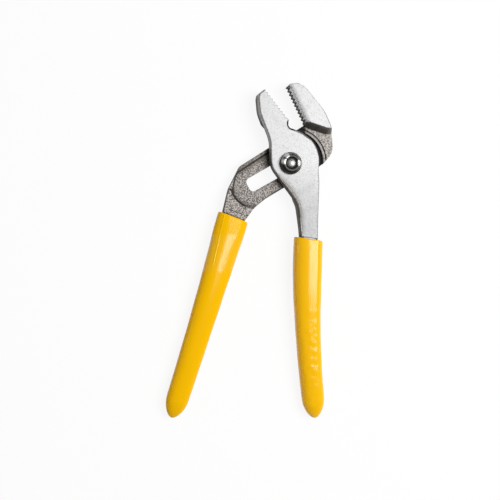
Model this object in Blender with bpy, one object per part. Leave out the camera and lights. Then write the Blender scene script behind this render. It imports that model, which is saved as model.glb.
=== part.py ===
"""Water pump pliers, groove-joint pattern, 250 mm class, lying on their back.

Frame: +Z up, the pliers lie flat with the nut on top. X runs across the tool, Y along it
towards the jaws. The origin is on the pivot axis at the flat outer face of the bolt head.
Sizes are in millimetres and are scaled to metres where the meshes are made.

The back lever carries the right jaw and the left handle. It holds the slot and the seven
curved grooves. The front lever carries the left jaw and the right handle. A curved tongue
on its underside sits in one groove at a time.
"""
from math import atan2, ceil, cos, radians, sin, tan

import bmesh
import bpy
from mathutils import Vector

MM = 0.001

# Fits
CLEAR = 0.3            # running gap between neighbouring pieces
TONGUE_PLAY = 0.3      # gap on each side of the tongue in its groove
JAW_GAP = 0.5          # between the tooth crests when the jaws are shut

# Heights above the bolt head's outer face
HEAD_H = 2.5
BEAM_T = 4.2           # back lever under the forged recess beside the slot
RIM_H = 1.4            # raised rim round that recess
LAND_H = 1.9           # groove depth, also the height of the lands over the rim
FRONT_T = 6.7          # front lever over the joint
NUT_H = 4.2
SHANK_T = 9.6          # left handle's shank where it enters the grip
NECK_T = 11.0          # right handle's neck where it enters the grip
Z_BACK = HEAD_H + CLEAR
Z_FLOOR = Z_BACK + BEAM_T
Z_RIM = Z_FLOOR + RIM_H
Z_LAND = Z_RIM + LAND_H
Z_UNDER = Z_LAND + CLEAR
Z_TOP = Z_UNDER + FRONT_T
Z_NUT = Z_TOP + CLEAR
Z_SHANK = Z_BACK + SHANK_T
Z_NECK = Z_TOP - NECK_T
PARTING = (Z_BACK + Z_TOP) / 2   # forging line round both levers
DRAFT = 0.25           # how far the walls swell from the ground faces to the forging line
EDGE = 0.55            # broken edge round the ground faces

# Joint
SETTINGS = 7
PITCH = 5.2            # from one groove to the next
SETTING_NOW = 2        # counted from the narrowest
SLOT_ANGLE = radians(29.7)
SLOT_W = 11.0
SLOT_END = 35.2        # from the pivot to the slot's far end
SLOT_CORNER = 3.4
CLOSE = radians(12.5)  # swing from the pose shown to parallel jaws
OPEN = radians(45)     # swing the other way, where the tongue has left the lands
TONGUE_R = 22.1        # outer radius of the tongue about the pivot
TONGUE_W = 2.8
TONGUE_FROM, TONGUE_TO = radians(16), radians(45)   # from the slot's direction
LAND_TOP = 16.3        # lands reach this far above the slot's centre line
LAND_LEFT = 12.0       # lands begin this far left of the pivot, under the front lever
LAND_LIP = 0.5         # ledge between the lands and the recess
LAND_NOTCH = 19.0      # the strip above the lands ends this far along the slot
RUNOUT_W, RUNOUT_H = 0.8, 0.7    # thin tool mark outside the last land
STEP_R = 19.8          # round step from the recess up to the left shank
STEP_RUN = 1.6         # slope of that step
RECESS_RUN = 1.5       # slope of the recess's sides
SHANK_FROM = 21.6      # the shank's top rises from this radius about the slot's end
SHANK_RUN = 9.0        # length of that slope

# Pivot
JOURNAL_D = 10.4
KEY_L = 12.0           # flatted part of the bolt, along the slot
HEAD_D = 18.0
THREAD_D = 8.4
DOME_D = 4.7
NUT_D = 16.9
NUT_FACE_D = 10.4
NUT_RIM_H = 0.9        # straight rim under the nut's dome
NUT_DISH = 0.3         # the face dips this far towards the bore
HEAD_ROUND = 1.6       # rounding of the bolt head's edge
BOLT_END = 0.7         # the bolt's end stands this far over the nut

# Jaws
TOOTH_PITCH = 3.0
TOOTH_DEPTH = 1.2
CREST_SHARE, ROOT_SHARE = 0.12, 0.62   # of the pitch, to the end of the crest and to the root
RIGHT_CREST_TOP, RIGHT_CREST_END = Vector((-0.8, 58.5)), Vector((13.2, 29.9))
LEFT_TIP_PAST = 3.0    # the left jaw's teeth start this far beyond the right one's
LEFT_END_SHORT = 6.5   # and stop this far before them
STOCK = 0.6            # left on the forging for the teeth to be cut from
MOUTH = 7.0            # depth of the space that the tooth cut sweeps
RAMP_RUN = 4.2         # slope between the right jaw's face and the lands
LAP_CENTRE, LAP_R = (-2.3, 1.7), 24.6    # round edge of the front lever
HOOK_CENTRE, HOOK_R = (2.1, 30.0), 3.7   # throat of the left jaw
HOOK_BREAK = (1.4, 1.5)     # width and depth of the broken edge round the throat
NECK_BREAK = (1.8, 3.0)     # and of the rounded left side of the neck, at its middle
BEAM_BREAK = (1.2, 1.6)     # and of the lap's lower edge
OUTLINE_STEP = 4.0          # longest step along the levers' outlines
SHOULDER_R = 20.3      # left jaw's shoulder from the pivot
SHOULDER_RUN = 4.0     # slope there, and under the neck
NECK_LINE = -26.0      # the right neck thickens below this line

# Handles: each grip's axis is an arc, from its mouth to its tip
LEFT_MOUTH, LEFT_LENGTH = Vector((-42.4, -40.6)), 157.6
LEFT_HEADING, LEFT_BEND = radians(-106.4), radians(-1.7)
RIGHT_MOUTH, RIGHT_LENGTH = Vector((15.0, -57.0)), 137.4
RIGHT_HEADING, RIGHT_BEND = radians(-92.2), radians(9.9)
LEFT_MOUTH_SKEW, RIGHT_MOUTH_SKEW = radians(-4.5), radians(-6.4)
LEFT_SHANK_W, RIGHT_NECK_W = 17.2, 12.4  # at the grips' mouths
LEFT_GRIP_Z, RIGHT_GRIP_Z, GRIP_END_Z = Z_BACK + SHANK_T / 2, Z_TOP - NECK_T / 2, 6.5
LEFT_GRIP_W = [(0.0, 24.0), (0.07, 24.0), (0.2, 22.1), (0.4, 20.1), (0.6, 18.5), (0.8, 17.4), (1.0, 16.2)]
RIGHT_GRIP_W = [(0.0, 22.2), (0.15, 22.4), (0.3, 21.5), (0.45, 19.8), (0.6, 18.7), (0.8, 17.6), (1.0, 16.4)]
GRIP_T = [(0.0, 13.8), (0.06, 14.8), (0.3, 14.4), (0.7, 13.2), (1.0, 12.2)]
GRIP_WALL = 3.4
GRIP_SQUARE, TANG_SQUARE = 2.5, 6.0   # how square the sections are, 2 being an ellipse
SKEW_SHARE = 0.12      # a skewed mouth turns square to the axis over this share of the grip
GRIP_LIP = 0.9         # rounding at the mouth
GRIP_NOSE = 14.0       # rounded length at the tip
NOSE_POINT = 1.75      # 2 is an ellipse, and less is more pointed
MOUTH_GAP = DRAFT + CLEAR    # the forging stops this far from the mouth, and the tang goes on
TANG_FLARE = 16.0      # length over which the tang widens inside the mouth
TANG_SHORT = 9.0       # from the steel's end to the grip's tip
GRIP_SIDES, TANG_SIDES, ROUND_SIDES = 36, 28, 48
GRIP_RINGS, NOSE_RINGS, TANG_RINGS = 18, 7, 9

STEEL = ((0.62, 0.61, 0.59, 1), 0.38, 1.0)
DARK_STEEL = ((0.30, 0.30, 0.29, 1), 0.25, 1.0)
VINYL = ((0.93, 0.47, 0.005, 1), 0.28, 0.0)

ALONG = Vector((cos(SLOT_ANGLE), sin(SLOT_ANGLE)))
ACROSS = Vector((-sin(SLOT_ANGLE), cos(SLOT_ANGLE)))


def clear_scene():
    for obj in list(bpy.data.objects):
        bpy.data.objects.remove(obj, do_unlink=True)


def turned(p, angle):
    return Vector((p[0] * cos(angle) - p[1] * sin(angle), p[0] * sin(angle) + p[1] * cos(angle)))


def on_slot(s, t):
    """The point s along the slot's centre line from the pivot and t above it."""
    return ALONG * s + ACROSS * t


def arc(centre, radius, start, end, step=radians(8)):
    n = max(2, ceil(abs(end - start) / step))
    return [
        Vector((centre[0] + radius * cos(a), centre[1] + radius * sin(a)))
        for a in (start + (end - start) * i / n for i in range(n + 1))
    ]


def rounded(corners):
    """A closed outline from corners (x, y, fillet radius)."""
    out = []
    n = len(corners)
    for i, c in enumerate(corners):
        p = Vector(c[:2])
        radius = c[2] if len(c) > 2 else 0
        a = (Vector(corners[i - 1][:2]) - p).normalized()
        b = (Vector(corners[(i + 1) % n][:2]) - p).normalized()
        half = a.angle(b) / 2
        if radius <= 0 or half > radians(89.5):
            out.append(p)
            continue
        centre = p + (a + b).normalized() * radius / sin(half)
        start, end = (p + d * radius / tan(half) - centre for d in (a, b))
        first = atan2(start.y, start.x)
        sweep = (atan2(end.y, end.x) - first + radians(180)) % radians(360) - radians(180)
        step = min(radians(15), max(radians(4), 2.5 / radius))
        out += arc(centre, radius, first, first + sweep, step)
    return out


def stepped(outline):
    """An outline with no step longer than OUTLINE_STEP."""
    out = []
    for a, b in zip(outline, outline[1:] + outline[:1]):
        n = max(1, ceil((b - a).length / OUTLINE_STEP))
        out += [a.lerp(b, k / n) for k in range(n)]
    return out


def stretch(outline, start, end):
    """The range of an outline's points from the one nearest start to the one nearest end."""
    first, last = (min(range(len(outline)), key=lambda i: (outline[i] - Vector(p)).length)
                   for p in (start, end))
    return range(first, last + 1)


def grown(outline, by):
    """A counter-clockwise outline moved outwards by a distance, or by one for each point."""
    out = []
    n = len(outline)
    for i, p in enumerate(outline):
        a = (p - outline[i - 1]).normalized()
        b = (outline[(i + 1) % n] - p).normalized()
        mid = (Vector((a.y, -a.x)) + Vector((b.y, -b.x))).normalized()
        step = by[i] if isinstance(by, list) else by
        out.append(p + mid * step / max(0.5, mid.dot(Vector((a.y, -a.x)))))
    return out


def make(name, finish=None):
    mesh = bpy.data.meshes.new(name)
    obj = bpy.data.objects.new(name, mesh)
    bpy.context.scene.collection.objects.link(obj)
    if finish:
        colour, roughness, metallic = finish
        material = bpy.data.materials.new(name)
        material.use_nodes = True
        shader = material.node_tree.nodes["Principled BSDF"]
        shader.inputs["Base Color"].default_value = colour
        shader.inputs["Roughness"].default_value = roughness
        shader.inputs["Metallic"].default_value = metallic
        mesh.materials.append(material)
    else:
        obj.hide_render = True
        obj.display_type = "WIRE"
    return obj


def skin(obj, rings, closed=False):
    """Bridge rings of points into one closed body, capped at its ends."""
    bm = bmesh.new()
    rows = [[bm.verts.new(Vector(p) * MM) for p in ring] for ring in rings]
    n = len(rows[0])
    for low, high in zip(rows, rows[1:]):
        for i in range(n):
            j = (i + 1) % n
            bm.faces.new((low[i], low[j], high[j], high[i]))
    if closed:
        for i in range(n):
            j = (i + 1) % n
            bm.faces.new((rows[-1][i], rows[-1][j], rows[0][j], rows[0][i]))
    else:
        bm.faces.new(rows[0][::-1])
        bm.faces.new(rows[-1])
    bmesh.ops.triangulate(bm, faces=[f for f in bm.faces if len(f.verts) == 4])
    bmesh.ops.recalc_face_normals(bm, faces=bm.faces)
    bm.to_mesh(obj.data)
    bm.free()
    obj.data.shade_smooth()
    obj.data.set_sharp_from_angle(angle=radians(30))
    return obj


def prism(obj, *levels):
    """A body from (height, outline) levels with equal counts of points."""
    return skin(obj, [[(p[0], p[1], z) for p in outline] for z, outline in levels])


def faded(at):
    """A share that rises from nearly 0 to 1 and falls again, for the place from 0 to 1."""
    return max(0.1, min(1.0, 2 * sin(radians(180) * at)))


def forging(obj, outline, low, high, breaks=()):
    """A lever blank: drafted walls with a forging line and broken edges.

    Each break is (start, end, (width, depth)): a stretch of the upper edge that is broken further.
    """
    wide, deep = [EDGE] * len(outline), [EDGE] * len(outline)
    for start, end, (width, depth) in breaks:
        points = stretch(outline, start, end)
        for i in points:
            share = faded((i - points[0]) / (len(points) - 1))
            wide[i], deep[i] = max(EDGE, width * share), max(EDGE, depth * share)
    swell = [(low, -EDGE), (low + EDGE, 0.0), (PARTING - 0.4, DRAFT), (PARTING + 0.4, DRAFT)]
    rings = [[(*p, z) for p in grown(outline, by)] for z, by in swell]
    rings.append([(*p, high - d) for p, d in zip(outline, deep)])
    rings.append([(*p, high) for p in grown(outline, [-w for w in wide])])
    return skin(obj, rings)


def turn(obj, profile):
    """A turned piece from (radius, height) points, from the axis round to the axis."""
    bm = bmesh.new()
    points = [bm.verts.new((r * MM, 0, z * MM)) for r, z in profile]
    edges = [bm.edges.new(pair) for pair in zip(points, points[1:])]
    bmesh.ops.spin(bm, geom=points + edges, axis=(0, 0, 1), cent=(0, 0, 0),
                   steps=ROUND_SIDES, angle=radians(360), use_merge=False)
    bmesh.ops.remove_doubles(bm, verts=bm.verts, dist=0.000001)
    bmesh.ops.recalc_face_normals(bm, faces=bm.faces)
    bm.to_mesh(obj.data)
    bm.free()
    obj.data.shade_smooth()
    obj.data.set_sharp_from_angle(angle=radians(30))
    return obj


def combine(obj, tool, operation):
    modifier = obj.modifiers.new(tool.name, "BOOLEAN")
    modifier.operation = operation
    modifier.solver = "EXACT"
    modifier.object = tool


def cut(obj, tool):
    combine(obj, tool, "DIFFERENCE")


def fuse(obj, tool):
    combine(obj, tool, "UNION")


def smooth_value(table, at):
    """A value between the (place, value) pairs of a table, eased from pair to pair."""
    for (a, va), (b, vb) in zip(table, table[1:]):
        if at <= b:
            u = (at - a) / (b - a)
            return va + (vb - va) * u * u * (3 - 2 * u)
    return table[-1][1]


def section(place, heading, z, width, thick, power, sides):
    """A rounded-rectangle ring square to the handle's axis."""
    side = Vector((-heading.y, heading.x))
    ring = []
    for k in range(sides):
        a = radians(360) * k / sides
        u, v = cos(a), sin(a)
        across = abs(u) ** (2 / power) * (1 if u >= 0 else -1) * width / 2
        up = abs(v) ** (2 / power) * (1 if v >= 0 else -1) * thick / 2
        ring.append((place.x + side.x * across, place.y + side.y * across, z + up))
    return ring


class Handle:
    """One handle: its axis, its grip's outside and the steel tang inside it."""

    def __init__(self, mouth, length, heading, bend, mouth_z, neck_w, neck_t, skew, widths):
        self.mouth, self.length, self.heading, self.bend = mouth, length, heading, bend
        self.mouth_z, self.neck_w, self.neck_t, self.skew = mouth_z, neck_w, neck_t, skew
        self.widths = widths

    def station(self, at):
        """Place, direction and height at a share of the way from the mouth to the tip."""
        a0, a1 = self.heading, self.heading + self.bend * at
        place = self.mouth + Vector((sin(a1) - sin(a0), cos(a0) - cos(a1))) * self.length / self.bend
        skew = self.skew * max(0.0, 1 - at / SKEW_SHARE)
        heading = Vector((cos(a1 + skew), sin(a1 + skew)))
        return place, heading, self.mouth_z + (GRIP_END_Z - self.mouth_z) * at

    def ring(self, at, shrink=0.0, power=GRIP_SQUARE, nose=1.0):
        width = (smooth_value(self.widths, at) - 2 * shrink) * nose
        thick = (smooth_value(GRIP_T, at) - 2 * shrink) * nose
        return section(*self.station(at), width, thick, power, GRIP_SIDES)

    def grip(self, obj):
        """The outside of the grip, from its mouth to its rounded tip."""
        start = 1 - GRIP_NOSE / self.length
        lip = GRIP_LIP / self.length
        rings = [self.ring(0, GRIP_LIP * 0.6), self.ring(lip * 0.4, GRIP_LIP * 0.2), self.ring(lip)]
        rings += [self.ring(lip + (start - lip) * k / GRIP_RINGS) for k in range(1, GRIP_RINGS + 1)]
        for k in range(1, NOSE_RINGS + 1):
            a = radians(86) * k / NOSE_RINGS
            out, in_ = (f(a) ** (2 / NOSE_POINT) for f in (sin, cos))
            power = GRIP_SQUARE - (GRIP_SQUARE - 2.2) * out
            rings.append(self.ring(start + (1 - start) * out, 0.0, power, in_))
        return skin(obj, rings)

    def tang(self, obj, gap=0.0, reach=4.0):
        """The steel inside the grip, from inside the lever to short of the grip's tip."""
        last = 1 - TANG_SHORT / self.length
        flare = TANG_FLARE / self.length
        place, heading, z = self.station(0)
        rings = [section(place - heading * reach, heading, z,
                         self.neck_w + 2 * gap, self.neck_t + 2 * gap, TANG_SQUARE, TANG_SIDES)]
        stops = [0.0, flare / 3, flare * 2 / 3]
        stops += [flare + (last - flare) * k / TANG_RINGS for k in range(TANG_RINGS + 1)]
        if gap:
            stops.append(last + gap / self.length)
        for at in stops:
            ease = min(1.0, at / flare)
            ease = ease * ease * (3 - 2 * ease)
            wide = smooth_value(self.widths, at) - 2 * GRIP_WALL
            deep = smooth_value(GRIP_T, at) - 2 * GRIP_WALL
            wide = self.neck_w + (wide - self.neck_w) * ease + 2 * gap
            deep = self.neck_t + (deep - self.neck_t) * ease + 2 * gap
            rings.append(section(*self.station(at), wide, deep, TANG_SQUARE, TANG_SIDES))
        return skin(obj, rings)


def crest_line():
    """The left jaw's tooth line: the right one's, carried back from shut jaws to this pose."""
    line = (RIGHT_CREST_END - RIGHT_CREST_TOP).normalized()
    off = Vector((-line.y, line.x)) * JAW_GAP
    ends = RIGHT_CREST_TOP - line * LEFT_TIP_PAST, RIGHT_CREST_END - line * LEFT_END_SHORT
    return [turned(p - off - ALONG * PITCH * (SETTING_NOW - 1), CLOSE) for p in ends]


def tooth_cutter(name, top, end, away, past=0.0):
    """Everything in front of a jaw's teeth, with the teeth as its toothed side."""
    along = (end - top).normalized()
    edge = [top - along * TOOTH_PITCH]
    for k in range(int((end - top).length / TOOTH_PITCH)):
        at = top + along * TOOTH_PITCH * k
        edge += [at, at + along * TOOTH_PITCH * CREST_SHARE,
                 at + along * TOOTH_PITCH * ROOT_SHARE - away * TOOTH_DEPTH]
    edge += [top + along * TOOTH_PITCH * (k + 1), end + along * past]
    outline = edge + [edge[-1] + away * MOUTH, edge[0] + away * MOUTH]
    return prism(make(name), (Z_BACK - 2, outline), (Z_TOP + 2, outline))


def edge_cutter(name, path, z, size):
    """A sweep that breaks the edge at height z along a stretch of a counter-clockwise outline."""
    rings = []
    for i, (p, before, after) in enumerate(zip(path, path[:1] + path, path[1:] + path[-1:])):
        width, depth = (value * faded(i / (len(path) - 1)) for value in size)
        heading = (after - before).normalized()
        out = Vector((heading.y, -heading.x))
        inner, lower, beyond = p - out * width * 1.5, p + out * width * 0.5, p + out * MOUTH / 2
        rings.append([(*inner, z + depth * 0.5), (*lower, z - depth * 1.5), (*beyond, z + depth + 1)])
    return skin(make(name), rings)


def lever_end(handle, width):
    """The two corners where a forged lever stops, just short of its grip's mouth."""
    place, heading, _ = handle.station(0)
    side = Vector((-heading.y, heading.x)) * width / 2
    place = place - heading * MOUTH_GAP
    return (*(place - side), 0), (*(place + side), 0)


def back_lever(handle):
    """Right jaw, lap with the slot and grooves, and left shank."""
    obj = make("back_lever", STEEL)
    line = (RIGHT_CREST_END - RIGHT_CREST_TOP).normalized()
    away = Vector((line.y, -line.x))
    end_left, end_right = lever_end(handle, LEFT_SHANK_W)
    outline = stepped(rounded([
        (*(RIGHT_CREST_TOP + away * STOCK), 0.9), (*(RIGHT_CREST_END + away * STOCK), 0),
        (-37.2, -2.2, 5.0), (-46.0, -19.5, 18.0), end_left, end_right,
        (-27.4, -34.2, 12.0), (-17.0, -26.4, 14.0), (26.6, 0.2, 10.0), (34.4, 9.4, 11.0),
        (33.6, 24.5, 40.0), (26.8, 40.2, 40.0), (11.2, 58.8, 14.0), (6.6, 60.9, 4.0), (1.4, 60.8, 2.6),
    ]))
    forging(obj, outline, Z_BACK, Z_TOP)
    over = Z_TOP + 2

    # Seat of the front lever, from the slope of the shank to the ramp of the right jaw
    slot_end = on_slot(SLOT_W / 2 - SLOT_END, 0)
    step, top_step = (arc(slot_end, r, radians(196), radians(285)) for r in (
        SHANK_FROM, SHANK_FROM + SHANK_RUN * (over - Z_LAND) / (Z_SHANK - Z_LAND)))
    ramp = [Vector(p) for p in ((9.6, 31.0), (12.0, 28.8), (14.6, 27.4), (22.7, 24.9), (27.6, 23.4),
                                (46.0, 23.0))]
    rise = Vector((0.25, 1.0)).normalized() * RAMP_RUN * (over - Z_LAND) / (Z_TOP - Z_LAND)
    left = [Vector((-14.0, 34.0)), Vector((-70.0, 10.0)), Vector((-70.0, -16.0))]
    right = [Vector((0.0, -90.0)), Vector((46.0, -30.0))]
    cut(obj, prism(make("cut_seat"), (Z_LAND, left + step + right + ramp[::-1]),
                   (over, left + top_step + right + [p + rise for p in ramp[::-1]])))

    # Top of the shank, where the slope ends
    inside = arc(slot_end, STEP_R - 1, radians(196), radians(285))
    shank = [Vector((-70.0, -15.0)), *inside, Vector((-19.0, -60.0)), Vector((-80.0, -60.0))]
    cut(obj, prism(make("cut_shank"), (Z_SHANK, shank), (over, shank)))

    # Rim level: the beams beside the slot, and a strip along the upper edge that the tongue
    # passes over when the levers are spread
    bow = arc((0, 0), LAND_LEFT, SLOT_ANGLE + radians(130), SLOT_ANGLE + radians(236))
    levels = []
    for z in (Z_RIM, Z_LAND + 1):
        foot = arc(slot_end, STEP_R - STEP_RUN * (Z_LAND - z) / LAND_H, radians(196), radians(285))
        levels.append((z, [on_slot(LAND_NOTCH, LAND_TOP), on_slot(LAND_NOTCH, 30.0), on_slot(-70.0, 30.0),
                           Vector((-70.0, -16.0)), *foot, Vector((-21.0, -52.0)), on_slot(-3.0, -40.0),
                           *bow[::-1], on_slot(-4.0, LAND_TOP)]))
    cut(obj, prism(make("cut_beams"), *levels))

    # Forged recess inside the rim, with sloped sides, open towards the lower edge
    lip = arc((0, 0), LAND_LEFT + LAND_LIP, SLOT_ANGLE + radians(236), SLOT_ANGLE + radians(130))
    recess = rounded([
        (*on_slot(-5.6, 14.6), 0), (*on_slot(-38.2, 12.6), 4.0), (-42.0, -19.4, 2.0),
        *[(*p, 0) for p in arc(slot_end, STEP_R - STEP_RUN - RECESS_RUN, radians(206), radians(278))],
        (*on_slot(-19.0, -20.0), 0), (*on_slot(-5.6, -20.0), 0), *[(*p, 0) for p in lip],
    ])
    slope = RECESS_RUN * (RIM_H + 1) / RIM_H
    open_side = len(lip) + 2
    mouth = [recess[0] + ACROSS * slope, *grown(recess, slope)[1:-open_side], *recess[-open_side:]]
    cut(obj, prism(make("cut_recess"), (Z_FLOOR, recess), (Z_RIM + 1, mouth)))
    edge = [outline[i] for i in stretch(outline, (-22.5, -30.4), (-2.0, -17.4))]
    cut(obj, edge_cutter("cut_lower_edge", edge, Z_FLOOR, BEAM_BREAK))

    # Slot
    near = PITCH * (SETTING_NOW - 1) + KEY_L / 2 + 2 * CLEAR
    half = SLOT_W / 2
    corners = [(-SLOT_END, -half), (near, -half), (near, half), (-SLOT_END, half)]
    slot = rounded([(*on_slot(*c), SLOT_CORNER) for c in corners])
    cut(obj, prism(make("cut_slot"), (Z_BACK - 1, slot), (Z_LAND + 1, slot)))

    # Grooves, one for each setting, and the tool mark outside the last land
    groove_w = TONGUE_W + 2 * TONGUE_PLAY
    outer = TONGUE_R + TONGUE_PLAY
    mark = outer + PITCH - groove_w
    rings = [(k, outer - groove_w, outer, Z_RIM) for k in range(SETTINGS)]
    rings.append((0, mark, mark + RUNOUT_W, Z_LAND - RUNOUT_H))
    for i, (k, r0, r1, floor) in enumerate(rings):
        centre = on_slot(PITCH * (SETTING_NOW - 1 - k), 0)
        a0, a1 = SLOT_ANGLE - radians(58), SLOT_ANGLE + radians(62)
        ring = arc(centre, r1, a0, a1, radians(5)) + arc(centre, r0, a1, a0, radians(5))
        cut(obj, prism(make(f"cut_groove_{i + 1}"), (floor, ring), (Z_LAND + 1, ring)))

    cut(obj, tooth_cutter("cut_right_teeth", RIGHT_CREST_TOP, RIGHT_CREST_END, away))
    fuse(obj, handle.tang(make("join_left_tang"), reach=4.0))
    return obj


def front_lever(handle):
    """Left jaw, round lap with the tongue, and right neck."""
    obj = make("front_lever", STEEL)
    top, end = crest_line()
    line = (end - top).normalized()
    away = Vector((-line.y, line.x))
    end_left, end_right = lever_end(handle, RIGHT_NECK_W)
    outline = stepped(rounded([
        (*(top + away * STOCK), 0.9), (-23.8, 52.0, 2.0), (-24.4, 49.0, 4.0), (-23.4, 38.0, 25.0),
        (-15.2, 17.2, 25.0), (-14.8, -2.6, 16.0), (5.8, -30.2, 20.0), (8.4, -49.0, 60.0),
        end_left, end_right, (21.4, -44.0, 60.0), (22.4, -14.0, 40.0),
        *[(*p, 0) for p in arc(LAP_CENTRE, LAP_R, radians(-12), radians(74), radians(5))],
        *[(*p, 0) for p in arc(HOOK_CENTRE, HOOK_R, radians(-95), radians(-180), radians(14))],
        (*(end + away * STOCK), 0),
    ]))
    forging(obj, outline, Z_BACK, Z_TOP, [((17.1, 16.8), end, HOOK_BREAK),
                                          ((-8.0, -11.5), (8.0, -45.0), NECK_BREAK)])
    under = Z_BACK - 2

    # Room for the back lever below the joint, between the jaw's shoulder and the neck. The
    # shoulder keeps off the lap's upper edge over the whole swing.
    a_open, a_shut = SLOT_ANGLE + radians(90) - OPEN, SLOT_ANGLE + radians(90) + CLOSE
    mid, half = (a_open + a_shut) / 2, (a_shut - a_open) / 2
    up = Vector((cos(mid), sin(mid)))
    apex = up * SHOULDER_R / cos(half)
    left = apex + Vector((-sin(a_open), cos(a_open))) * 60
    right = apex + Vector((sin(a_shut), -cos(a_shut))) * 60
    share = (Z_UNDER - under) / (Z_UNDER - Z_BACK)
    lift = up * SHOULDER_RUN * share
    drop = Vector((0, -SHOULDER_RUN)) * share
    low = [Vector((-60.0, NECK_LINE)), Vector((60.0, NECK_LINE))]
    cut(obj, prism(make("cut_room"),
                   (under, [left + lift, *[p + drop for p in low], right + lift, apex + lift]),
                   (Z_UNDER, [left, *low, right, apex])))
    neck = [Vector(p) for p in ((-60, -20), (-60, -80), (60, -80), (60, -20))]
    cut(obj, prism(make("cut_neck"), (under, neck), (Z_NECK, neck)))

    a0, a1 = SLOT_ANGLE + TONGUE_FROM, SLOT_ANGLE + TONGUE_TO
    ring = arc((0, 0), TONGUE_R, a0, a1, radians(5))
    ring += arc((0, 0), TONGUE_R - TONGUE_W, a1, a0, radians(5))
    fuse(obj, prism(make("join_tongue"), (Z_RIM + CLEAR, ring), (Z_UNDER + 1, ring)))
    hole = arc((0, 0), JOURNAL_D / 2 + CLEAR, 0, radians(360), radians(10))[:-1]
    cut(obj, prism(make("cut_hole"), (Z_UNDER - 1, hole), (Z_TOP + 1, hole)))
    cut(obj, tooth_cutter("cut_left_teeth", top, end, away, HOOK_R))
    fuse(obj, handle.tang(make("join_right_tang"), reach=4.0))
    return obj


def pivot_bolt():
    """Head behind, flats in the slot, a relief, a journal in the front lever and a peened end."""
    obj = make("pivot_bolt", DARK_STEEL)
    r_head, r_journal, r_thread, r_dome = HEAD_D / 2, JOURNAL_D / 2, THREAD_D / 2, DOME_D / 2
    end = Z_NUT + NUT_H + BOLT_END
    edge = HEAD_ROUND
    turn(obj, [(0, 0), (r_head - edge, 0), (r_head - 0.3 * edge, 0.3 * edge), (r_head, edge),
               (r_head, HEAD_H), (r_thread, HEAD_H), (r_thread, Z_UNDER), (r_journal, Z_UNDER),
               (r_journal, Z_TOP - CLEAR), (r_thread - 0.3, Z_TOP - CLEAR),
               (r_thread - 0.3, end - 1.2), (r_thread, end - 0.9), (r_thread - 0.5, end - 0.6),
               (r_dome + 0.4, end - 0.9), (r_dome, end - 0.8), (r_dome * 0.72, end - 0.25), (0, end)])
    half_l, half_w = KEY_L / 2, SLOT_W / 2 - CLEAR
    corners = [(-half_l, -half_w), (half_l, -half_w), (half_l, half_w), (-half_l, half_w)]
    key = rounded([(*on_slot(*c), SLOT_CORNER - 0.4) for c in corners])
    fuse(obj, prism(make("join_key"), (HEAD_H - 0.5, key), (Z_LAND, key)))
    return obj


def pivot_nut():
    """Round, domed nut with a flat face round the bolt's end."""
    bore, face, rim = THREAD_D / 2 + CLEAR, NUT_FACE_D / 2, NUT_D / 2
    obj = make("pivot_nut", DARK_STEEL)
    profile = [(bore, Z_NUT), (rim, Z_NUT), (rim, Z_NUT + NUT_RIM_H)]
    for a in (radians(15) * k for k in range(1, 7)):
        profile.append((face + (rim - face) * cos(a), Z_NUT + NUT_RIM_H + (NUT_H - NUT_RIM_H) * sin(a)))
    profile.append((bore, Z_NUT + NUT_H - NUT_DISH))
    rings = []
    for a in (radians(360) * k / ROUND_SIDES for k in range(ROUND_SIDES)):
        rings.append([(r * cos(a), r * sin(a), z) for r, z in profile])
    return skin(obj, rings, closed=True)


def grip(name, handle):
    """Dipped vinyl sleeve, closed at its tip, with the steel's shape inside."""
    obj = make(name, VINYL)
    handle.grip(obj)
    cut(obj, handle.tang(make(f"cut_{name}"), gap=CLEAR, reach=12.0))
    return obj


def main():
    clear_scene()
    left = Handle(LEFT_MOUTH, LEFT_LENGTH, LEFT_HEADING, LEFT_BEND,
                  LEFT_GRIP_Z, LEFT_SHANK_W - 1.0, SHANK_T - 0.4, LEFT_MOUTH_SKEW, LEFT_GRIP_W)
    right = Handle(RIGHT_MOUTH, RIGHT_LENGTH, RIGHT_HEADING, RIGHT_BEND,
                   RIGHT_GRIP_Z, RIGHT_NECK_W + 0.2, NECK_T - 0.4, RIGHT_MOUTH_SKEW, RIGHT_GRIP_W)
    back_lever(left)
    front_lever(right)
    pivot_bolt()
    pivot_nut()
    grip("left_grip", left)
    grip("right_grip", right)


main()
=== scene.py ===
"""Looks of the water pump pliers: finishes, studio light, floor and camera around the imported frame."""
from functools import cached_property, reduce
from math import cos, pi, radians, sin

import bpy
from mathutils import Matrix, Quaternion, Vector


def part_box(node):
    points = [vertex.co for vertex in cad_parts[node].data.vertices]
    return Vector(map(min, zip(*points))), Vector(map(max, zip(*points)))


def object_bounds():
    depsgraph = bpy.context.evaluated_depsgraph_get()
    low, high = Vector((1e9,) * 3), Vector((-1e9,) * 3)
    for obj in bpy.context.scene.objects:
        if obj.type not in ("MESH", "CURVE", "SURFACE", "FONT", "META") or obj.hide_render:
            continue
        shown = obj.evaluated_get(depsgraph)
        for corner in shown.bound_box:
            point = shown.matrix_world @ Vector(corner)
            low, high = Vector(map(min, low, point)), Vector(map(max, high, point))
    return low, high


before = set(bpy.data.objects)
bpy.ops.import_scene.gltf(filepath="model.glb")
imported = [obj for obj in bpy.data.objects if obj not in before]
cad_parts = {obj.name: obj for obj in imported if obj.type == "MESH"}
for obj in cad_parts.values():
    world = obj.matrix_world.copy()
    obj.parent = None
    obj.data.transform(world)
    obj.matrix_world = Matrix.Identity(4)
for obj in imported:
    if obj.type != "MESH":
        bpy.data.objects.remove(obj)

CAD_BOX = [list(corner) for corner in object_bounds()]
MM = 0.001


def mm(*values):
    """Values in millimetres, given in metres."""
    return tuple(value * MM for value in values)


# Camera, at the photograph's angle
AIM = Vector((-31.1, -65.4, 17.0)) * MM
DISTANCE = 0.9
CAMERA_LEAN = radians(10.5)  # to the left of straight above
LENS, SENSOR = 86.4, 36.0

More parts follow.
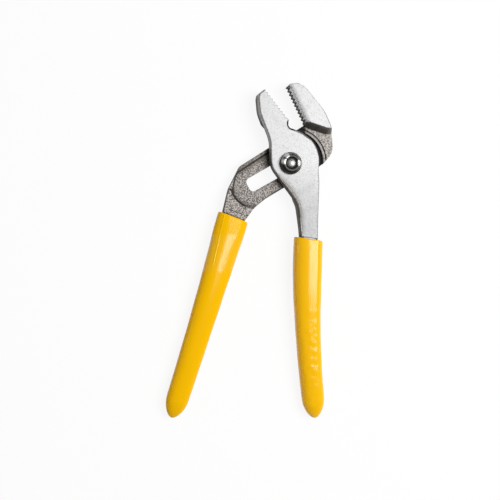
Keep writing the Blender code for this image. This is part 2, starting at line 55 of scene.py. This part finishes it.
# Studio
WORLD_STRENGTH = 0.2
FLOOR_COLOUR = (0.92, 0.92, 0.92, 1)
FLOOR_GLOW = 0.9             # share of plain white in what the floor and backdrop show
FLOOR_ROUGH = 0.9
FLOOR_RADIUS = 3.0
FLOOR_SIDES = 64
FLOOR_GAP = 0.3 * MM         # below the part, so that the two don't share a plane
BACKDROP_HEIGHT = 0.9

# Smooth shading
WELD = 0.002 * MM
SHARP = radians(32)          # an edge that turns further stays sharp

# Colours of the levers
GROUND = (0.505, 0.505, 0.505, 1)
# a duller grey for random speckle and clouds, and also painted shade towards the handles, beside the teeth
# and on edges
GROUND_DULL_AND_SHADED = (0.305, 0.305, 0.31, 1)
FORGED_PALE = (0.475, 0.44, 0.415, 1)
FORGED_DARK = (0.083, 0.075, 0.069, 1)
# the forged wall's grey, raised as painted light
FRONT_WALL_LIT = (0.36, 0.35, 0.335, 1)
# painted shade on the neck's walls and beside its hollow side
NECK_SHADE = (0.12, 0.107, 0.095, 1)
# the back lever's forged wall, darkened as painted shade
BACK_WALL_SHADED = (0.09, 0.082, 0.072, 1)
# painted shade low on the left jaw
LOW_WALL_SHADE = (0.07, 0.064, 0.057, 1)
# painted shade on slopes that turn up
SLOPE_SHADE = (0.06, 0.05, 0.042, 1)
# painted shade in corners
CORNER_SHADE = (0.06, 0.052, 0.045, 1)
RIM_BROWN = (0.12, 0.105, 0.082, 1)
# painted light on the land by the grooves, dimmer towards its lower end
LAND_LIT = (0.33, 0.32, 0.31, 1)
LAND_DIM = (0.20, 0.19, 0.18, 1)
BACK_EDGE = (0.17, 0.165, 0.155, 1)
# painted highlight on edges
EDGE_HIGHLIGHT = (0.95, 0.95, 0.95, 1)
# painted highlight on the teeth
TOOTH_HIGHLIGHT = (0.95, 0.95, 0.94, 1)
# black forge scale in streaks, pits and seams, and painted shade in grooves, hollows, the wedge and round the
# throat
SCALE_AND_SHADE_BLACK = (0.02, 0.018, 0.016, 1)

# Shares of a second colour on the levers
RECESS_DARK = 0.08
BOSS_LIGHT = 0.22
RIM_DARK = 0.5
STREAK_DARK = 0.5
PIT_DARK = 0.7
# painted shade on the ground face
BAND_SHADE = 0.75             # beside the neck's hollow side
TAIL_LIGHT = 0.6
SPECKLE_DULL = 0.6
CLOUD_DULL = 0.2
# painted shade on the ground faces towards the handles
HANDLE_SHADE = 0.55           # towards the handles

# Pairs from here on say where a mask is 0 and where it is 1. By noise:
GRAIN_SPLIT = 0.40, 0.60
STREAK_SPLIT = 0.45, 0.75
SPECKLE_SPLIT = 0.45, 0.7
CLOUD_SPLIT = 0.45, 0.75
PIT_SPLIT = 0.76, 0.84

# By how open a place is within a distance, for the painted shade in corners and hollows
CORNER_SIZE, CORNER_OPEN = 4.0 * MM, (0.6, 0.95)
HOLLOW_SIZE, HOLLOW_OPEN = 6.0 * MM, (0.4, 0.85)

# By how flat a face lies, or how it turns, which also sets painted light and shade
FACE_FLAT = 0.9, 0.98
SKIN_FLAT = 0.7, 0.95
EDGE_FLAT = 0.3, 0.5
TAIL_FLAT = 0.15, 0.3
GENTLE = 0.3                 # how much flatter the gentle slopes of the back lever count
EDGE_TURNS_UP = 0.2, 0.6
EDGE_TURNS_RIGHT = 0.2, 0.5
SLOPE_TURNS_UP = -0.1, 0.4

# By height, from the back lever's box
FACE_LOW, FACE_HIGH = (corner.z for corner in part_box("back_lever"))
TOP_FACE_Z = FACE_HIGH - 0.7 * MM, FACE_HIGH - 0.2 * MM
BACK_FACE_Z = FACE_LOW + 0.7 * MM, FACE_LOW + 0.2 * MM
EDGE_Z = FACE_HIGH - 3.0 * MM, FACE_HIGH - 0.2 * MM

# By place on the lap: recess, boss and the land outside the first groove, both with painted light, and the
# groove beside it with painted shade
RECESS_Z = mm(8.0, 7.4)
SEAT_Z = mm(9.8, 10.2)
BOSS_X = mm(13.0, 16.0)
LAND_CENTRE = mm(4.52, 2.58)
LAND_IN = mm(22.5, 22.7)
LAND_OUT = mm(23.6, 23.4)
LAND_Y = mm(4.0, 10.0)
GROOVE_R = mm(22.5, 22.2)
GROOVE_X = mm(4.0, 8.0)
GROOVE_Y = mm(23.0, 20.0)
GROOVE_Z = mm(10.0, 9.4)

# The painted shadow in the wedge beside the throat, and a place outside the land that some light reaches
WEDGE_X = mm(13.8, 12.4)
WEDGE_LOW_Y = mm(20.0, 24.0)
WEDGE_HIGH_Y = mm(33.0, 31.0)
WEDGE_Z = mm(11.5, 10.8)
RUNOUT_R = mm(23.4, 23.8)
RUNOUT_X = mm(12.0, 14.0)
RUNOUT_LIGHT = 0.6

# Along both levers, towards the handles, where the edges change and the painted shade on the ground faces
# grows
HANDLE_EDGE_Y = mm(-8.0, -18.0)
HANDLE_SHADE_Y = mm(6.0, -34.0)

# On the back lever: rim, round step up to the shank, teeth with their painted highlight, and the painted
# light on the outer end of the slope under the jaw
RIM_LINE = mm(-40.5, -5.1), mm(-15.2, 10.8)
RIM_OFF = mm(-5.6, -4.2)
RIM_X = mm(-8.0, -14.0)
SLOT_END = mm(-25.8, -14.7)
STEP_R = mm(18.3, 17.3)
STEP_Y = mm(-21.0, -24.0)
SHANK_Y = mm(-31.0, -34.0)
TOOTH_LINE = mm(-0.8, 58.5), mm(13.2, 29.9)
BITE_OFF = mm(3.0, 2.0)
BITE_LOW_Y = mm(31.0, 33.0)
BITE_HIGH_Y = mm(58.5, 56.5)
BITE_Z = mm(9.0, 13.0)
# painted shade on the ground face beside the teeth
TOOTH_SHADE_OFF = mm(4.5, 1.0)
TAIL_X = mm(28.5, 33.5)
TAIL_LOW_Y = mm(20.0, 22.0)
TAIL_HIGH_Y = mm(33.0, 30.0)

# On the front lever: painted shade round the throat, low on the left jaw, and along the neck with its hollow
# left side
THROAT = mm(2.1, 30.0)
THROAT_R = mm(4.8, 5.2)
JAW_Y = mm(14.0, 20.0)
JAW_Z = mm(13.5, 7.5)
NECK_WALL_Y = mm(18.0, 2.0)
NECK_CENTRE = mm(-33.6, -44.9)
NECK_R = mm(46.5, 40.5)
NECK_BAND_Y = mm(-2.0, -10.0)

# Surface of the levers
LEVER_ROUGH = 0.6, 0.5       # forged, ground
LEVER_METALLIC = 0.45
LEVER_SPECULAR = 0.1
LEVER_BUMP = 0.35
LEVER_RELIEF = 0.25 * MM
LEVER_ROUNDING = 1.0 * MM
SPECKLE_RELIEF = 0.08        # share of the grain's

# Nut and bolt, with painted reflections and painted shade
# painted reflection in the bright spots
NUT_REFLECTION = (0.62, 0.62, 0.60, 1)
NUT_DULL = (0.30, 0.30, 0.29, 1)
# dark mottling, and painted shade towards the lower left
NUT_DARK_AND_SHADE = (0.04, 0.04, 0.038, 1)
# painted shade on the nut's top and round the bolt's end
RING_SHADE = (0.035, 0.035, 0.034, 1)
BOLT_BRIGHT = (0.85, 0.85, 0.84, 1)
NUT_ROUGH, BOLT_ROUGH = 0.26, 0.4
ROUGH_SPAN = 0.12            # from the smoothest place to the roughest
NUT_METALLIC = 1.0, 0.3      # elsewhere, in the bright spots
# spots of painted reflection
NUT_REFLECTION_SPOTS = (mm(-3.8, 6.0), 2.8 * MM), (mm(-5.8, 1.1), 2.6 * MM), (mm(5.7, 0.2), 2.6 * MM)
SPOT_CORE = 0.4              # share of a spot's radius that is fully bright
NUT_TURNS_UP = -0.5, 0.1
RIGHT_AS_UP = 0.6            # share of a turn to the right that counts as a turn up
NUT_TOP = 0.9, 0.98
BOLT_FLAT_R = mm(2.3, 2.6)
BOLT_END_Z = mm(15.0, 17.0)
MOTTLE_SPLIT = 0.45, 0.6
MOTTLE_DARK = 0.6
LATHE_BUMP = 0.06
LATHE_RELIEF = 0.05 * MM
SEAM_SIZE, SEAM_OPEN = 1.2 * MM, (0.2, 0.8)

# Vinyl of the grips. Lean is how far the surface is tipped, as slopes in X and Y. Wavy is how strong the
# ripple gets at the far end. Shine is where along Y the gloss begins and where it drops to a share of rest.
# Crease is a line with a fine ridge.
YELLOW = (0.97, 0.525, 0.0005, 1)
YELLOW_DEEP = (0.90, 0.465, 0.0005, 1)
DEEP_SHARE = 0.35
SKIN = 0.18 * MM             # unevenness
VINYL_BUMP = 0.5
VINYL_RELIEF = 2 * SKIN
VINYL_ROUGH = 0.13, 0.17
VINYL_GLOSS = 0.1, 0.42      # plain, shining
VINYL_IOR = 1.5
GLOSS_FADE = 3.0 * MM
WAVES_Y = mm(-98.0, -145.0)
WAVES_ABOVE = 0.1
RIDGE_HALF = 0.8 * MM
RIDGE_Y = mm(-84.0, -72.0)
LEFT_GRIP = {"lean": (0.035, -0.06), "wavy": 0.1, "shine": mm(-52.5, -80.0), "rest": 0.0,
             "crease": (mm(-50.0, -39.0), mm(-58.5, -75.0))}
RIGHT_GRIP = {"lean": (-0.07, -0.022), "wavy": 2.0, "shine": mm(-50.0, -98.0), "rest": 0.75}


class Graph:
    """A material's node tree, with short ways to add and join nodes."""

    def __init__(self, name):
        self.material = bpy.data.materials.new(name)
        self.material.use_nodes = True
        self.tree = self.material.node_tree
        self.shader = self.tree.nodes["Principled BSDF"]
        self.coords = self.add("ShaderNodeTexCoord").outputs

    @cached_property
    def place(self):
        return self.split("Object")

    @cached_property
    def facing(self):
        return self.split("Normal")

    @cached_property
    def flatness(self):
        """1 where a face looks straight up or down, 0 on upright walls."""
        return self.math("ABSOLUTE", self.facing["Z"])

    def add(self, kind, **settings):
        node = self.tree.nodes.new(kind)
        for key, value in settings.items():
            setattr(node, key, value)
        return node

    def put(self, socket, value):
        """A socket takes another socket's value, or a constant."""
        if isinstance(value, bpy.types.NodeSocket):
            self.tree.links.new(value, socket)
        else:
            socket.default_value = value

    def split(self, name):
        node = self.add("ShaderNodeSeparateXYZ")
        self.put(node.inputs[0], self.coords[name])
        return node.outputs

    def math(self, operation, a, b=0.0, clamp=False):
        node = self.add("ShaderNodeMath", operation=operation, use_clamp=clamp)
        self.put(node.inputs[0], a)
        self.put(node.inputs[1], b)
        return node.outputs[0]

    def fold(self, operation, values):
        """Values joined one after the other by the same operation."""
        return reduce(lambda a, b: self.math(operation, a, b), values)

    def product(self, *values):
        return self.fold("MULTIPLY", values)

    def most(self, *values):
        return self.fold("MAXIMUM", values)

    def ramp(self, value, ends):
        """0 at the first end, 1 at the second, smooth between."""
        node = self.add("ShaderNodeMapRange", interpolation_type="SMOOTHSTEP")
        self.put(node.inputs["Value"], value)
        node.inputs["From Min"].default_value, node.inputs["From Max"].default_value = ends
        return node.outputs["Result"]

    def along(self, axis, ends):
        """A ramp by place along an axis."""
        return self.ramp(self.place[axis], ends)

    def turned(self, axis, ends):
        """A ramp by how far a face turns towards an axis."""
        return self.ramp(self.facing[axis], ends)

    def scaled(self, value, ends):
        """A 0 to 1 value carried to between two ends."""
        node = self.add("ShaderNodeMapRange")
        self.put(node.inputs["Value"], value)
        node.inputs["To Min"].default_value, node.inputs["To Max"].default_value = ends
        return node.outputs["Result"]

    def mix(self, share, a, b):
        node = self.add("ShaderNodeMix", data_type="RGBA")
        self.put(node.inputs["Factor"], share)
        self.put(node.inputs[6], a)
        self.put(node.inputs[7], b)
        return node.outputs[2]

    def noise(self, size, detail, rough, stretch=(1, 1, 1)):
        """Noise with features of about that size in metres."""
        mapping = self.add("ShaderNodeMapping")
        self.put(mapping.inputs["Vector"], self.coords["Object"])
        mapping.inputs["Scale"].default_value = stretch
        node = self.add("ShaderNodeTexNoise")
        self.put(node.inputs["Vector"], mapping.outputs["Vector"])
        node.inputs["Scale"].default_value = 1 / size
        node.inputs["Detail"].default_value = detail
        node.inputs["Roughness"].default_value = rough
        return node.outputs["Fac"]

    def vector_math(self, operation, a, b):
        node = self.add("ShaderNodeVectorMath", operation=operation)
        self.put(node.inputs[0], a)
        node.inputs[1].default_value = b
        return node.outputs

    def distance(self, point):
        """How far from an upright axis through a point."""
        flat = self.vector_math("MULTIPLY", self.coords["Object"], (1, 1, 0))
        return self.vector_math("DISTANCE", flat["Vector"], (*point, 0))["Value"]

    def beside(self, start, end):
        """How far to the left of a line drawn in the XY plane."""
        along = (Vector(end) - Vector(start)).normalized()
        off = self.vector_math("SUBTRACT", self.coords["Object"], (*start, 0))
        return self.vector_math("DOT_PRODUCT", off["Vector"], (-along.y, along.x, 0))["Value"]

    def crevice(self, distance):
        """1 in the open, towards 0 in corners."""
        node = self.add("ShaderNodeAmbientOcclusion", samples=8)
        node.inputs["Distance"].default_value = distance
        return node.outputs["AO"]

    def bump(self, height, strength, distance, rounding=0.0):
        """Relief from a height, over edges that look rounded where a rounding is given."""
        node = self.add("ShaderNodeBump")
        self.put(node.inputs["Height"], height)
        node.inputs["Strength"].default_value = strength
        node.inputs["Distance"].default_value = distance
        if rounding:
            bevel = self.add("ShaderNodeBevel", samples=6)
            bevel.inputs["Radius"].default_value = rounding
            self.put(node.inputs["Normal"], bevel.outputs["Normal"])
        self.put(self.shader.inputs["Normal"], node.outputs["Normal"])

    def finish(self, **sockets):
        for name, value in sockets.items():
            self.put(self.shader.inputs[name.replace("_", " ")], value)
        return self.material


class LeverSteel(Graph):
    """Forged steel as both levers have it: bright where ground flat, grainy where forged, with painted shade
    in hollows.
    """

    def __init__(self, name):
        super().__init__(name)
        self.grain = self.noise(size=0.9 * MM, detail=3.0, rough=0.6)
        self.speckle = self.noise(size=1.1 * MM, detail=3.0, rough=0.7)
        self.reach = self.distance(LAND_CENTRE)
        faces = self.most(self.along("Z", TOP_FACE_Z), self.along("Z", BACK_FACE_Z))
        self.ground = self.product(faces, self.ramp(self.flatness, FACE_FLAT))

    def skin(self):
        """Forged grain, darker on the recess's floor, with painted light on the boss and on the land by the
        grooves.
        """
        skin = self.mix(self.ramp(self.grain, GRAIN_SPLIT), FORGED_DARK, FORGED_PALE)
        skin = self.mix(self.product(self.along("Z", RECESS_Z), RECESS_DARK), skin, FORGED_DARK)
        seat = self.along("Z", SEAT_Z)
        skin = self.mix(self.product(self.along("X", BOSS_X), seat, BOSS_LIGHT), skin, FORGED_PALE)
        land = self.product(self.ramp(self.reach, LAND_IN), self.ramp(self.reach, LAND_OUT), seat)
        return self.mix(land, skin, self.mix(self.along("Y", LAND_Y), LAND_DIM, LAND_LIT))

    def sides(self, wall, edge):
        """Upright walls, slopes with a painted brown shade where they turn up and, next to the top face,
        edges, all with dark upright streaks.
        """
        slope = self.mix(self.turned("Y", SLOPE_TURNS_UP), wall, SLOPE_SHADE)
        edge = self.mix(self.along("Z", EDGE_Z), slope, edge)
        edge = self.mix(self.ramp(self.flatness, EDGE_FLAT), wall, edge)
        streak = self.noise(size=2.4 * MM, detail=3.0, rough=0.6, stretch=(1.0, 1.0, 0.25))
        return self.mix(self.product(self.ramp(streak, STREAK_SPLIT), STREAK_DARK), edge, SCALE_AND_SHADE_BLACK)

    def hollows(self, colour):
        """Painted shade: brown in corners, and black in deep ones, in the grooves and in the wedge beside the
        throat.
        """
        colour = self.mix(self.ramp(self.crevice(CORNER_SIZE), CORNER_OPEN), CORNER_SHADE, colour)
        groove = self.product(self.along("X", GROOVE_X), self.along("Z", GROOVE_Z),
                              self.ramp(self.reach, GROOVE_R), self.along("Y", GROOVE_Y))
        wedge = self.product(self.along("X", WEDGE_X), self.along("Y", WEDGE_LOW_Y),
                             self.along("Z", WEDGE_Z), self.along("Y", WEDGE_HIGH_Y))
        lit = self.math("SUBTRACT", 1.0, self.most(groove, wedge))
        lit = self.math("MINIMUM", self.ramp(self.crevice(HOLLOW_SIZE), HOLLOW_OPEN), lit)
        runout = self.product(self.ramp(self.reach, RUNOUT_R), self.along("X", RUNOUT_X), RUNOUT_LIGHT)
        return self.mix(self.most(lit, runout), SCALE_AND_SHADE_BLACK, colour)

    def dullness_and_shade(self):
        """Of the ground faces: a fine speckle, faint clouds, and a painted shade that grows towards the
        handles.
        """
        cloud = self.noise(size=9.0 * MM, detail=3.0, rough=0.5)
        dull = self.product(self.ramp(self.speckle, SPECKLE_SPLIT), SPECKLE_DULL)
        dull = self.math("ADD", dull, self.product(self.ramp(cloud, CLOUD_SPLIT), CLOUD_DULL))
        return self.math("ADD", dull, self.product(self.along("Y", HANDLE_SHADE_Y), HANDLE_SHADE), clamp=True)

    def steel(self, colour, polish, smooth):
        """Polish with dark pits on the ground faces, the other colour elsewhere, grainy where not smooth."""
        pits = self.noise(size=1.9 * MM, detail=1.0, rough=0.5)
        polish = self.mix(self.product(self.ramp(pits, PIT_SPLIT), PIT_DARK), polish, SCALE_AND_SHADE_BLACK)
        height = self.product(self.grain, self.math("SUBTRACT", 1.0, smooth))
        height = self.math("ADD", height, self.product(self.speckle, SPECKLE_RELIEF))
        self.bump(height, LEVER_BUMP, LEVER_RELIEF, LEVER_ROUNDING)
        return self.finish(Base_Color=self.mix(self.ground, colour, polish),
                           Roughness=self.scaled(self.ground, LEVER_ROUGH),
                           Metallic=LEVER_METALLIC, Specular_IOR_Level=LEVER_SPECULAR)


def back_steel():
    """The back lever, with a brown rim and a painted highlight on the teeth."""
    g = LeverSteel("back_steel")
    rim = g.product(g.ramp(g.beside(*RIM_LINE), RIM_OFF), g.along("X", RIM_X), RIM_DARK)
    skin = g.mix(rim, g.skin(), RIM_BROWN)
    off_teeth = g.beside(*TOOTH_LINE)
    bite = g.product(g.ramp(off_teeth, BITE_OFF), g.along("Y", BITE_LOW_Y), g.along("Y", BITE_HIGH_Y))

    # Painted highlight on edges where they turn up, towards the handle and along the teeth
    edge = g.mix(g.turned("Y", EDGE_TURNS_UP), BACK_EDGE, EDGE_HIGHLIGHT)
    edge = g.mix(g.along("Y", HANDLE_EDGE_Y), edge, EDGE_HIGHLIGHT)
    edge = g.mix(bite, edge, TOOTH_HIGHLIGHT)

    # The foot of the round step and the shank have the forged skin on their slopes too
    foot = g.product(g.ramp(g.distance(SLOT_END), STEP_R), g.along("Y", STEP_Y))
    gentle = g.most(foot, g.along("Y", SHANK_Y))
    flatness = g.math("ADD", g.flatness, g.product(gentle, GENTLE))
    colour = g.hollows(g.mix(g.ramp(flatness, SKIN_FLAT), g.sides(BACK_WALL_SHADED, edge), skin))

    # Painted highlight on the tooth walls' upper part, and painted light on the outer end of the slope under
    # the jaw
    bite = g.product(bite, g.along("Z", BITE_Z))
    colour = g.mix(bite, colour, TOOTH_HIGHLIGHT)
    tail = g.product(g.along("X", TAIL_X), g.along("Y", TAIL_HIGH_Y), g.along("Y", TAIL_LOW_Y),
                     g.ramp(g.flatness, TAIL_FLAT), TAIL_LIGHT)
    colour = g.mix(tail, colour, FORGED_PALE)
    # Painted shade on the ground face beside the teeth, as on a rounded edge
    polish = g.mix(g.math("ADD", g.dullness_and_shade(), g.ramp(off_teeth, TOOTH_SHADE_OFF)), GROUND, GROUND_DULL_AND_SHADED)
    return g.steel(colour, polish, smooth=g.most(g.ground, bite))


def front_steel():
    """The front lever, with painted light on its walls, and painted shade low on the jaw, round the throat
    and along the neck's hollow left side.
    """
    g = LeverSteel("front_steel")
    # Painted light on the front lever's walls, with painted shade on the neck's walls and low on the jaw
    wall = g.mix(g.along("Y", NECK_WALL_Y), FRONT_WALL_LIT, NECK_SHADE)
    wall = g.mix(g.product(g.along("Z", JAW_Z), g.along("Y", JAW_Y)), wall, LOW_WALL_SHADE)
    # Painted highlight on the neck's edges, and painted shade where they turn right
    neck_edge = g.mix(g.turned("X", EDGE_TURNS_RIGHT), EDGE_HIGHLIGHT, GROUND_DULL_AND_SHADED)
    edge = g.mix(g.along("Y", HANDLE_EDGE_Y), GROUND_DULL_AND_SHADED, neck_edge)
    colour = g.hollows(g.mix(g.ramp(g.flatness, SKIN_FLAT), g.sides(wall, edge), g.skin()))
    # Painted shade: black round the throat
    clear = g.ramp(g.distance(THROAT), THROAT_R)
    colour = g.mix(clear, SCALE_AND_SHADE_BLACK, colour)
    g.ground = g.product(g.ground, clear)
    # Painted shade on the ground face beside the neck's hollow side, as on a rounded edge
    band = g.product(g.ramp(g.distance(NECK_CENTRE), NECK_R), g.along("Y", NECK_BAND_Y), BAND_SHADE)
    polish = g.mix(band, g.mix(g.dullness_and_shade(), GROUND, GROUND_DULL_AND_SHADED), NECK_SHADE)
    return g.steel(colour, polish, smooth=g.ground)


def polished(g, rough):
    """Turned and polished steel with fine lathe marks. Gives its mottling."""
    cloud = g.noise(size=2.4 * MM, detail=2.0, rough=0.5)
    marks = g.noise(size=0.4 * MM, detail=2.0, rough=0.5)
    g.bump(marks, LATHE_BUMP, LATHE_RELIEF)
    g.finish(Roughness=g.scaled(cloud, (rough, rough + ROUGH_SPAN)), Metallic=1.0)
    return g.product(g.ramp(cloud, MOTTLE_SPLIT), MOTTLE_DARK)


def seams(g, colour):
    """Black where two pieces meet."""
    return g.mix(g.ramp(g.crevice(SEAM_SIZE), SEAM_OPEN), SCALE_AND_SHADE_BLACK, colour)


def nut_steel():
    """The dome has three bright spots of painted reflection, and painted shade on top and towards the lower
    left.
    """
    g = Graph("nut_steel")
    mottle = polished(g, NUT_ROUGH)
    # Painted shade towards the lower left and on top, by how a face turns
    tilt = g.math("ADD", g.facing["Y"], g.product(g.facing["X"], RIGHT_AS_UP))
    colour = g.mix(g.ramp(tilt, NUT_TURNS_UP), NUT_DARK_AND_SHADE, NUT_DULL)
    colour = g.mix(mottle, colour, NUT_DARK_AND_SHADE)
    colour = g.mix(g.turned("Z", NUT_TOP), colour, RING_SHADE)
    # Painted reflections, less metallic so that they show white
    spots = [g.ramp(g.distance(spot), (size, SPOT_CORE * size)) for spot, size in NUT_REFLECTION_SPOTS]
    shine = g.most(*spots)
    return g.finish(Base_Color=seams(g, g.mix(shine, colour, NUT_REFLECTION)),
                    Metallic=g.scaled(shine, NUT_METALLIC))


def bolt_steel():
    """The domed end shines, and the flat round it has painted shade."""
    g = Graph("bolt_steel")
    mottle = polished(g, BOLT_ROUGH)
    # Painted shade on the flat round the bolt's end
    flat = g.product(g.ramp(g.distance((0, 0)), BOLT_FLAT_R), g.along("Z", BOLT_END_Z))
    return g.finish(Base_Color=seams(g, g.mix(flat, g.mix(mottle, BOLT_BRIGHT, NUT_DULL), RING_SHADE)))


def vinyl(name, lean, wavy, shine, rest, crease=None):
    """Glossy dipped vinyl, a little uneven as it ran off the dip, and wavy further down."""
    g = Graph(name)
    sag = g.noise(size=16.0 * MM, detail=2.0, rough=0.4, stretch=(1.0, 0.6, 1.0))
    ripple = g.noise(size=5.0 * MM, detail=0.0, rough=0.3)
    waves = g.scaled(g.along("Y", WAVES_Y), (WAVES_ABOVE, wavy))
    height = g.math("ADD", sag, g.product(ripple, waves))
    for axis, slope in zip("XY", lean):
        height = g.math("ADD", height, g.product(g.place[axis], -slope / SKIN))
    if crease:
        off = g.beside(*crease)
        ridge = g.product(g.ramp(off, (-RIDGE_HALF, 0.0)), g.ramp(off, (RIDGE_HALF, 0.0)),
                          g.along("Y", RIDGE_Y))
        height = g.math("ADD", height, ridge)
    g.bump(height, VINYL_BUMP, VINYL_RELIEF)
    begin, end = shine
    lower = g.scaled(g.along("Y", (end - GLOSS_FADE, end)), (rest, 1.0))
    gloss = g.product(g.along("Y", (begin, begin - GLOSS_FADE)), lower)
    colour = g.mix(g.scaled(sag, (0.0, DEEP_SHARE)), YELLOW, YELLOW_DEEP)
    return g.finish(Base_Color=colour, Roughness=g.scaled(sag, VINYL_ROUGH), IOR=VINYL_IOR,
                    Specular_IOR_Level=g.scaled(gloss, VINYL_GLOSS))


def smooth_walls():
    """A modifier's node group that welds the facets and shades curved walls smooth."""
    tree = bpy.data.node_groups.new("smooth_walls", "GeometryNodeTree")
    tree.interface.new_socket("Mesh", in_out="INPUT", socket_type="NodeSocketGeometry")
    tree.interface.new_socket("Mesh", in_out="OUTPUT", socket_type="NodeSocketGeometry")
    add = tree.nodes.new
    start, end = add("NodeGroupInput"), add("NodeGroupOutput")
    weld = add("GeometryNodeMergeByDistance")
    weld.inputs["Distance"].default_value = WELD
    angle = add("GeometryNodeInputMeshEdgeAngle")
    sharp = add("FunctionNodeCompare")
    sharp.inputs["B"].default_value = SHARP
    normals = add("GeometryNodeSetMeshNormal")
    normals.inputs["Remove Custom"].default_value = True
    link = tree.links.new
    link(start.outputs[0], weld.inputs["Geometry"])
    link(weld.outputs["Geometry"], normals.inputs["Mesh"])
    link(angle.outputs["Unsigned Angle"], sharp.inputs["A"])
    link(sharp.outputs["Result"], normals.inputs["Edge Sharpness"])
    link(normals.outputs["Mesh"], end.inputs[0])
    return tree


def dress():
    """Every CAD node gets its finish and smooth curved walls."""
    walls = smooth_walls()
    finishes = {
        "back_lever": back_steel(),
        "front_lever": front_steel(),
        "pivot_bolt": bolt_steel(),
        "pivot_nut": nut_steel(),
        "left_grip": vinyl("left_vinyl", **LEFT_GRIP),
        "right_grip": vinyl("right_vinyl", **RIGHT_GRIP),
    }
    for name, finish in finishes.items():
        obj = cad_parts[name]
        obj.data.materials.clear()
        obj.data.materials.append(finish)
        obj.modifiers.new("smooth_walls", "NODES").node_group = walls


def area_light(name, place, aim, size, brightness, turn=0.0):
    """A soft light of that brightness on its face, turned about its own axis."""
    data = bpy.data.lights.new(name, "AREA")
    data.shape = "RECTANGLE"
    data.size, data.size_y = size
    data.energy = brightness * pi * size[0] * size[1]
    obj = bpy.data.objects.new(name, data)
    obj.location = place
    facing = (Vector(aim) - Vector(place)).to_track_quat("-Z", "Y")
    obj.rotation_euler = (facing @ Quaternion((0, 0, 1), turn)).to_euler()
    bpy.context.scene.collection.objects.link(obj)


def paper():
    """White paper of the floor and backdrop: mostly plain white to the eye and in gloss, with a shadow."""
    g = Graph("paper")
    paths = g.add("ShaderNodeLightPath").outputs
    seen = g.most(paths["Is Camera Ray"], paths["Is Glossy Ray"], paths["Is Transmission Ray"])
    white = g.add("ShaderNodeEmission")
    blend = g.add("ShaderNodeMixShader")
    g.put(blend.inputs["Fac"], g.product(seen, FLOOR_GLOW))
    g.put(blend.inputs[1], g.shader.outputs["BSDF"])
    g.put(blend.inputs[2], white.outputs["Emission"])
    g.put(g.tree.nodes["Material Output"].inputs["Surface"], blend.outputs["Shader"])
    return g.finish(Base_Color=FLOOR_COLOUR, Roughness=FLOOR_ROUGH)


def floor_and_backdrop():
    """A round floor with an upright backdrop round it."""
    angles = [2 * pi * i / FLOOR_SIDES for i in range(FLOOR_SIDES)]
    rim = [(FLOOR_RADIUS * cos(angle), FLOOR_RADIUS * sin(angle)) for angle in angles]
    points = [(x, y, z) for z in (0, BACKDROP_HEIGHT) for x, y in rim]
    neighbours = [(i, (i + 1) % FLOOR_SIDES) for i in range(FLOOR_SIDES)]
    walls = [(i, j, j + FLOOR_SIDES, i + FLOOR_SIDES) for i, j in neighbours]
    mesh = bpy.data.meshes.new("floor")
    mesh.from_pydata(points, [], [tuple(range(FLOOR_SIDES))] + walls)
    mesh.materials.append(paper())
    floor = bpy.data.objects.new("floor", mesh)
    floor.location.z = CAD_BOX[0][2] - FLOOR_GAP
    bpy.context.scene.collection.objects.link(floor)


def studio():
    """Plain dim surroundings, a soft light above the right side and a strip that lights the left walls."""
    world = bpy.data.worlds.new("studio")
    world.use_nodes = True
    sky = world.node_tree.nodes["Background"].inputs
    sky["Color"].default_value = (1, 1, 1, 1)
    sky["Strength"].default_value = WORLD_STRENGTH
    bpy.context.scene.world = world
    area_light("softbox", place=(0.56, 0.04, 1.0), aim=(0.56, 0.04, 0.0), size=(0.88, 0.68),
               brightness=7.8, turn=radians(-4))
    area_light("edge", place=(-0.80, -0.05, 0.35), aim=(-0.05, -0.05, 0.01), size=(0.10, 0.5),
               brightness=1.5)


def camera():
    """From above and a little from the left, as the photograph was taken."""
    data = bpy.data.cameras.new("camera")
    data.lens, data.sensor_width = LENS, SENSOR
    obj = bpy.data.objects.new("camera", data)
    obj.rotation_euler = (0, -CAMERA_LEAN, 0)
    obj.location = AIM + obj.rotation_euler.to_matrix() @ Vector((0, 0, DISTANCE))
    bpy.context.scene.collection.objects.link(obj)
    bpy.context.scene.camera = obj


dress()
floor_and_backdrop()
studio()
camera()
bpy.context.scene.view_settings.view_transform = "Standard"
bpy.context.view_layer.update()
